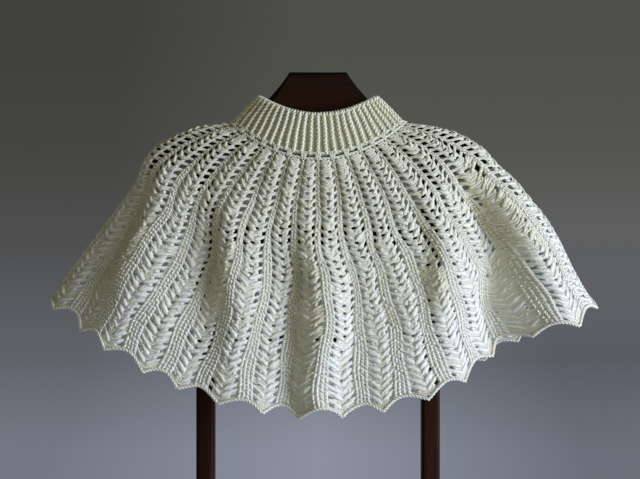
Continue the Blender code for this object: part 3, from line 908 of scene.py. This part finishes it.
def ribPiece(name, firstRepeat, lastRepeat):
    rib = ribStitch
    heap = YarnHeap(rib["sides"], rib["flat"])
    course = np.array([-0.5, 0.0, 0.5])
    for order, (firstRow, _) in enumerate(rib["starts"]):
        starts = np.arange(firstRow * rib["perRound"], rounds * rib["perRound"]) / rib["perRound"]
        wholes, rows = np.meshgrid(np.arange(firstRepeat, lastRepeat, dtype=float), starts, indexing="ij")
        wholes, rows = wholes.ravel()[:, None], rows.ravel()[:, None]
        offset, spacing = ribPlaces(order, wholes, rows)
        wobble = rng.normal(0.0, rib["wobble"], rows.shape)
        rowPlaces = rows + 0.5 / rib["perRound"] + course * rib["long"] + wobble
        alongs = np.clip(rowPlaces / rounds, rib["firstAlong"], 1.0)
        places = wholes + offset - course * rib["lean"][order % 2] * spacing
        heights = np.zeros_like(alongs) + rib["heights"]
        radii = np.clip(rib["fit"] * spacing * bodyNet.width(alongs), *rib["radius"]) * rib["plump"]
        centres, outward = bodyNet.place(places, alongs, heights)
        # painted shade: the tone table darkens the ribs higher up, and shadeTones darkens them on the folds'
        # shaded flanks
        tones = tableAt(rib["tones"], alongs[:, 1]) + rng.uniform(0.0, rib["toneSpread"], len(rows))
        heap.add(centres, outward, radii, tones + shadeTones(places[:, 1], alongs[:, 1]))
    return heap.piece(name, bodyYarn, "body_yarn")


sectorSpan = stitches["sectorRepeats"]
sectors = [
    bodySector("body_yarn_%02d" % number, number * sectorSpan, (number + 1) * sectorSpan)
    for number in range(repeats // sectorSpan)
]
ribPieces = [ribPiece("rib_yarn_front", 0, half), ribPiece("rib_yarn_back", half, repeats)]
triangles = sum(len(piece.data.loops) - 2 * len(piece.data.polygons) for piece in sectors + ribPieces)
print("body yarn laid in", len(sectors) + len(ribPieces), "pieces,", triangles, "triangles")


# Hem edging: a two-strand cord along the scallops

edging = {
    "pointsPerRepeat": 42,
    "drop": 0.0021,             # below the last round
    "height": 0.0022,
    "twist": 0.00095,
    "radius": 0.00115,
    "turn": 0.0075,
    "tones": (0.2, 0.5),
    "sides": 5,
}


def twistedCord(heap, centres, outward, twist, radius, turnLength, tones):
    # two strands around each other
    ahead = unit(np.gradient(centres, axis=0))
    beside = np.cross(ahead, outward)
    steps = np.linalg.norm(np.diff(centres, axis=0), axis=1)
    phase = np.concatenate([[0.0], np.cumsum(steps)]) * (math.tau / turnLength)
    for start, tone in zip((0.0, math.pi), tones):
        around = np.cos(phase + start)[:, None] * outward + np.sin(phase + start)[:, None] * beside
        radii = np.full((1, len(centres)), radius)
        heap.add((centres + around * twist)[None], outward[None], radii, np.array([tone]))


def hemCord():
    heap = YarnHeap(edging["sides"])
    places = np.arange(repeats * edging["pointsPerRepeat"] + 1) / edging["pointsPerRepeat"]
    alongs = np.full_like(places, 1.0 + edging["drop"] / groundCut["cut"][1])
    centres, outward = bodyNet.place(places, alongs, np.full_like(places, edging["height"]))
    twistedCord(heap, centres, outward, edging["twist"], edging["radius"], edging["turn"], edging["tones"])
    return heap.piece("hem_cord", bodyYarn, "body_yarn")


hemPiece = hemCord()
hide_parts("hem_edging")
print("hem edging made")


# Collar: a band of ground stitches, a twisted rope on every rib, loops at the rim and at the seam

collarCut = {
    "thick": 0.0012,
    "perRib": 6,
    "rings": 14,
    "grooveHeight": 0.0006,
    "crestHeight": 0.0012,
    "ropeHeight": 0.0027,
    "ropeTwist": 0.00100,
    "ropeRadius": 0.00135,
    "ropeTurn": 0.0088,
    "ropePoints": 40,
    "ropeSpan": (0.03, 0.985),
    "ropeSway": 0.02,
    "swayWaves": 9.0,
    "ropeTones": (0.1, 0.7),
    "droopFrom": 0.93,          # the rope sinks under the loops of the rim
    "droopOver": 0.055,
    "droop": 0.0008,
    "rounds": 6.0,
    "weld": 1e-5,
    "sides": 5,
    "flat": (0.463, 0.05),
    "flatArea": 0.0188,
}


def collarBand():
    cut = collarCut
    columns = collarForm["ribs"] * cut["perRib"]
    bm = bmesh.new()
    bmesh.ops.create_grid(bm, x_segments=columns, y_segments=cut["rings"], size=0.5)
    spots = np.array([vert.co[:2] for vert in bm.verts]) + 0.5
    ribPlace = spots[:, 0] * collarForm["ribs"]
    crest = 0.5 - 0.5 * np.cos(math.tau * ribPlace)
    heights = cut["grooveHeight"] + (cut["crestHeight"] - cut["grooveHeight"]) * crest
    points, _ = collarNet.place(spots[:, 0] * repeats, spots[:, 1], heights)
    layCloth(bm, points, np.stack([ribPlace, spots[:, 1] * cut["rounds"]], axis=-1))
    bmesh.ops.remove_doubles(bm, verts=bm.verts, dist=cut["weld"])
    return clothPiece("collar_band", bm, collarGround, cut["thick"])


def collarRopes():
    cut = collarCut
    heap = YarnHeap(cut["sides"])
    alongs = np.linspace(*cut["ropeSpan"], cut["ropePoints"])
    droop = np.clip((alongs - cut["droopFrom"]) / cut["droopOver"], 0.0, 1.0) * cut["droop"]
    for rib in range(collarForm["ribs"]):
        sway = cut["ropeSway"] * np.sin(alongs * cut["swayWaves"] + rib)
        places = (rib + 0.5) / collarForm["ribs"] * repeats + sway
        centres, outward = collarNet.place(places, alongs, cut["ropeHeight"] - droop)
        tones = rng.uniform(*cut["ropeTones"], 2)
        twistedCord(heap, centres, outward, cut["ropeTwist"], cut["ropeRadius"], cut["ropeTurn"], tones)
    return heap.piece("collar_ropes", collarYarn, "collar_yarn")


rimLoop = {
    "perRib": 2,
    "alongs": [0.93, 0.985, 1.012, 1.012, 0.975, 0.93],
    "heights": [0.0022, 0.0023, 0.0015, 0.0003, -0.0004, -0.0005],
    "radius": 0.00115,
    "tones": (0.0, 0.6),
}


def collarLoops():
    # a loop over the rim at each rib and one between ribs
    heap = YarnHeap(collarCut["sides"])
    count = collarForm["ribs"] * rimLoop["perRib"]
    places = np.arange(count)[:, None] / count * repeats + np.zeros(len(rimLoop["alongs"]))
    alongs = np.zeros_like(places) + rimLoop["alongs"]
    heights = np.zeros_like(places) + rimLoop["heights"]
    centres, _ = collarNet.place(places, alongs, heights)
    upward = np.zeros_like(centres) + (0.0, 0.0, 1.0)
    radii = np.full(places.shape, rimLoop["radius"])
    heap.add(centres, upward, radii, rng.uniform(*rimLoop["tones"], count))
    return heap.piece("collar_loops", collarYarn, "collar_yarn")


seamChain = {
    "height": 0.0024,
    "radius": 0.00105,
    "twist": 0.0007,
    "turn": 0.0092,
    "tones": (0.2, 0.4),
    "pointsPerRepeat": 16,
    "bodyLine": 0.0125,
    "collarLine": 0.055,
    # stitches across the seam at each rib: place beside the rib, lean
    "stitches": [(-0.12, 0.03), (-0.04, -0.03), (0.05, 0.03), (0.13, -0.03)],
    "stitchCourse": [-1.0, -0.5, 0.5, 1.0],
    "stitchShares": [0.0, 0.33, 0.67, 1.0],
    "stitchTop": (0.07, 0.0024),    # along and height, on the collar
    "stitchFoot": (0.018, 0.0028),  # along and height, on the body
    "stitchLift": 0.0006,
    "stitchRadius": 0.0011,
    "stitchTones": (0.0, 0.4),
}


def seamStitches():
    # a cord on each side of the seam, and four stitches across it at each rib
    chain = seamChain
    heap = YarnHeap(collarCut["sides"])
    places = np.arange(repeats * chain["pointsPerRepeat"] + 1) / chain["pointsPerRepeat"]
    heights = np.full_like(places, chain["height"])
    for net, along in ((bodyNet, chain["bodyLine"]), (collarNet, chain["collarLine"])):
        centres, outward = net.place(places, np.full_like(places, along), heights)
        twistedCord(heap, centres, outward, chain["twist"], chain["radius"], chain["turn"], chain["tones"])
    wholes = np.arange(repeats)[:, None]
    share = np.array(chain["stitchShares"])[None, :, None]
    for beside, lean in chain["stitches"]:
        crossing = wholes + beside + lean * np.array(chain["stitchCourse"])
        (top, outTop), (foot, outFoot) = (
            net.place(crossing, np.full(crossing.shape, along), np.full(crossing.shape, height))
            for net, (along, height) in ((collarNet, chain["stitchTop"]), (bodyNet, chain["stitchFoot"]))
        )
        outward = unit(outTop * (1 - share) + outFoot * share)
        centres = top * (1 - share) + foot * share + outward * chain["stitchLift"]
        radii = np.full(crossing.shape, chain["stitchRadius"])
        heap.add(centres, outward, radii, rng.uniform(*chain["stitchTones"], repeats))
    return heap.piece("seam_chain", collarYarn, "collar_yarn")


collarPiece = collarBand()
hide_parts("collar")
collarParts = [collarRopes(), collarLoops(), seamStitches()]
print("collar made")


# Stand: every bar is a rounded bar in the place of its solid

# node, the way its grain runs, rounding of its edges
standBars = {
    "post_left": ("z", 0.0040),
    "post_right": ("z", 0.0040),
    "upper_rail": ("x", 0.0030),
    "base_rail": ("x", 0.0030),
    "foot_left": ("y", 0.0060),
    "foot_right": ("y", 0.0060),
}
standEdge = {
    "segments": 4,
    "sharpAngle": 35.0,
}


def roundEdges(bm, edges, offset, segments):
    bmesh.ops.bevel(
        bm, geom=edges, offset=offset, segments=segments, profile=0.5, affect="EDGES", material=-1
    )


def woodPiece(node, bm, grain):
    mesh = meshFrom(bm, node + "_wood")
    mesh.set_sharp_from_angle(angle=math.radians(standEdge["sharpAngle"]))
    piece = showPiece(node + "_wood", mesh, woods[grain])
    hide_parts(node)
    return piece


def standBar(node, grain, rounding):
    low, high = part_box(node)
    bm = bmesh.new()
    bmesh.ops.create_cube(bm, size=1.0)
    bmesh.ops.scale(bm, vec=high - low, verts=bm.verts)
    bmesh.ops.translate(bm, vec=(low + high) / 2, verts=bm.verts)
    roundEdges(bm, bm.edges[:], rounding, standEdge["segments"])
    return woodPiece(node, bm, grain)


yokeShape = {
    # the raised neck: distance from the middle, top, and how far the top is crowned across the thickness
    "neck": [(0.0000, 1.1000, 0.004), (0.0318, 1.1000, 0.004), (0.0365, 1.0930, 0.005),
             (0.0435, 1.0838, 0.007), (0.0535, 1.0722, 0.009), (0.0660, 1.0590, 0.012),
             (0.0800, 1.0490, 0.014)],
    "armAlongs": [0.0, 0.035, 0.07, 0.105, 0.14, 0.175, 0.21, 0.245, 0.28, 0.31, 0.335],
    "seatGap": 0.0004,
    "halfThick": 0.014,
    "under": 1.0060,
    "underFlat": 0.139,         # from here out the underside falls as the top does
    "tip": (0.187, 0.9860),
    "tipShrink": 0.007,
    "underRound": 0.006,
    "sides": 16,
    "border": 0.0042,           # width of the border on the front and the back that is painted darker, as shade
}


def yokeStations():
    shape = yokeShape
    stations = [(x, top, shape["under"], crown, shape["halfThick"]) for x, top, crown in shape["neck"]]
    tipX, tipUnder = shape["tip"]
    for along in shape["armAlongs"]:
        x, _, z = bodyRing(along, np.array([0.0]))[0]
        past = max(0.0, x - shape["underFlat"]) / (tipX - shape["underFlat"])
        under = shape["under"] + (tipUnder - shape["under"]) * past
        stations.append((x, z - shape["seatGap"], under, shape["halfThick"], shape["halfThick"]))
    x, top, under, crown, thick = stations[-1]
    stations[-1] = (x, top - shape["tipShrink"], under + shape["tipShrink"], crown / 2, thick / 2)
    return stations


def yokeSection(x, top, under, crown, thick):
    # half turns over the top and back under the foot of one section, with a line for the border's inner edge
    turns = np.linspace(-math.pi / 2, math.pi / 2, yokeShape["sides"] + 1)
    fall = 1.0 - np.cos(turns)
    station, depth = np.full_like(turns, x), thick * np.sin(turns)
    upper = np.stack([station, depth, top - crown * fall], axis=-1)
    lower = np.stack([station, depth, under + yokeShape["underRound"] * fall], axis=-1)
    inner = upper[[0, -1]]
    inner[:, 2] = np.maximum(inner[:, 2] - yokeShape["border"], lower[[0, -1], 2])
    return np.concatenate([inner[:1], upper, inner[1:], lower[::-1]])


def yokePiece():
    stations = yokeStations()
    mirrored = [(-station[0],) + station[1:] for station in reversed(stations[1:])]
    bm = bmesh.new()
    edge = bm.verts.layers.float.new("edge")
    loops = []
    for station in mirrored + stations:
        section = [bm.verts.new(point) for point in yokeSection(*station)]
        # painted shade: the rounded top is marked, and the mark fades over the border below it
        for vert in section[1: yokeShape["sides"] + 2]:
            vert[edge] = 1.0
        loops.append(section)
    for left, right in zip(loops, loops[1:]):
        for index in range(len(left)):
            beside = (index + 1) % len(left)
            bm.faces.new([left[index], left[beside], right[beside], right[index]])
    bm.faces.new(loops[0])
    bm.faces.new(loops[-1])
    bmesh.ops.recalc_face_normals(bm, faces=bm.faces)
    return woodPiece("hanger", bm, "x")


barShape = {
    "sides": 32,
    "rounding": 0.0015,
    "segments": 3,
}


def trouserBar():
    low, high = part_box("trouser_bar")
    middle, radius = (low + high) / 2, (high[2] - low[2]) / 2
    bm = bmesh.new()
    turned = mathutils.Matrix.Translation(middle) @ mathutils.Matrix.Rotation(math.pi / 2, 4, "Y")
    bmesh.ops.create_cone(bm, cap_ends=True, segments=barShape["sides"], radius1=radius, radius2=radius,
                          depth=high[0] - low[0], matrix=turned)
    rims = [line for line in bm.edges if any(len(face.verts) > 4 for face in line.link_faces)]
    roundEdges(bm, rims, barShape["rounding"], barShape["segments"])
    return woodPiece("trouser_bar", bm, "x")


for node, (grain, rounding) in standBars.items():
    standBar(node, grain, rounding)
yokePiece()
trouserBar()
print("stand made")


# Stage: pale floor, a backdrop that glows with painted light, a large soft light from the right and a weak
# warm one from the front

stageSet = {
    "floorFront": -7.0,
    "floorReach": 3.2,
    "floorColour": (0.52, 0.58, 0.70, 1.0),
    "sweepRadius": 3.0,
    "sweepSteps": 24,
    "wallTop": 4.6,
    "halfWide": 7.0,
    # painted light: the backdrop's glow, brightest low down, from the floor up
    "wallStops": [(0.05, (0.26, 0.285, 0.35, 1.0)), (0.17, (0.18, 0.19, 0.22, 1.0)),
                  (0.36, (0.12, 0.122, 0.125, 1.0)), (0.56, (0.09, 0.09, 0.082, 1.0)),
                  (0.83, (0.078, 0.08, 0.065, 1.0))],
    # painted shade: the glow dims towards the left, and towards the right low down
    "leftDim": 0.34,
    "rightDim": 0.44,           # low down only
    "rightFade": (0.17, 0.40),  # shares of the wall's span, between which that ends
    "wallReach": 1.0,
    "wallSpan": 2.4,
    "world": (0.050, 0.048, 0.033, 1.0),
    "lights": {
        "window light": {"place": (2.30, -1.35, 1.30), "power": 84.5, "size": (1.2, 1.4),
                         "colour": (0.79, 0.852, 0.99)},
        "room light": {"place": (-0.4, -2.8, 1.4), "power": 11.0, "size": (2.0, 2.0),
                       "colour": (1.0, 0.94, 0.68)},
    },
    "aim": (0.0, -0.05, 0.9),
}


def stagePlane(name, profile, halfWide, finish):
    bm = bmesh.new()
    line = [bm.verts.new((-halfWide, y, z)) for y, z in profile]
    edges = [bm.edges.new(pair) for pair in zip(line, line[1:])]
    swept = bmesh.ops.extrude_edge_only(bm, edges=edges)["geom"]
    moved = [item for item in swept if isinstance(item, bmesh.types.BMVert)]
    bmesh.ops.translate(bm, vec=(2.0 * halfWide, 0.0, 0.0), verts=moved)
    bmesh.ops.recalc_face_normals(bm, faces=bm.faces)
    mesh = meshFrom(bm, name)
    mesh.materials.append(finish)
    piece = bpy.data.objects.new(name, mesh)
    bpy.context.scene.collection.objects.link(piece)
    return piece


def floorFinish():
    return Finish("pale floor", {"Base Color": stageSet["floorColour"], "Roughness": 0.7}).material


def wallFinish():
    black = (0.0, 0.0, 0.0, 1.0)
    # painted light: the backdrop is black and glows with the painted gradient
    fixed = {"Base Color": black, "Roughness": 1.0, "Specular IOR Level": 0.0, "Emission Strength": 1.0}
    finish = Finish("backdrop painted light", fixed)
    across, _, high = finish.parts(finish.coords("Object"))
    share = high / stageSet["wallSpan"]
    ramp = finish.node("ShaderNodeValToRGB", {"stops": stageSet["wallStops"]}, {"Fac": share})
    reach = stageSet["wallReach"]
    leftDim = (1.0 - across.between(-reach, 0.0)) * stageSet["leftDim"]
    low = 1.0 - share.between(*stageSet["rightFade"])
    rightDim = across.between(0.0, reach) * low * stageSet["rightDim"]
    finish.feed("Emission Color", finish.mix(leftDim + rightDim, ramp.out("Color"), black))
    return finish.material


def makeStage():
    reach, radius, halfWide = stageSet["floorReach"], stageSet["sweepRadius"], stageSet["halfWide"]
    stagePlane("floor", [(stageSet["floorFront"], 0.0), (reach, 0.0)], halfWide, floorFinish())
    turns = np.linspace(0.0, math.pi / 2, stageSet["sweepSteps"])
    sweep = [(reach + radius * math.sin(turn), radius * (1.0 - math.cos(turn))) for turn in turns]
    stagePlane("backdrop", sweep + [(reach + radius, stageSet["wallTop"])], halfWide, wallFinish())


def softLight(name, place, power, size, colour):
    lamp = bpy.data.lights.new(name, "AREA")
    lamp.shape = "RECTANGLE"
    lamp.size, lamp.size_y = size
    lamp.energy = power
    lamp.color = colour
    holder = bpy.data.objects.new(name, lamp)
    bpy.context.scene.collection.objects.link(holder)
    holder.location = place
    toward = np.array(stageSet["aim"]) - np.array(place)
    flat = math.hypot(toward[0], toward[1])
    holder.rotation_euler = (math.atan2(flat, -toward[2]), 0.0, math.atan2(-toward[0], toward[1]))
    return holder


makeStage()
for name, light in stageSet["lights"].items():
    softLight(name, **light)
world = bpy.data.worlds.new("room")
world.use_nodes = True
world.node_tree.nodes["Background"].inputs["Color"].default_value = stageSet["world"]
bpy.context.scene.world = world
bpy.context.scene.view_settings.view_transform = "Standard"


# Camera at the photograph's place

view = {
    "place": (0.0022, -1.7, 0.913),
    "lens": 85.4,
    "sensor": 36.0,
}
lens = bpy.data.cameras.new("photo view")
lens.lens, lens.sensor_width = view["lens"], view["sensor"]
camera = bpy.data.objects.new("photo view", lens)
camera.location = view["place"]
camera.rotation_euler = (math.radians(90.0), 0.0, 0.0)
bpy.context.scene.collection.objects.link(camera)
bpy.context.scene.camera = camera
print("stage, lights and camera set")
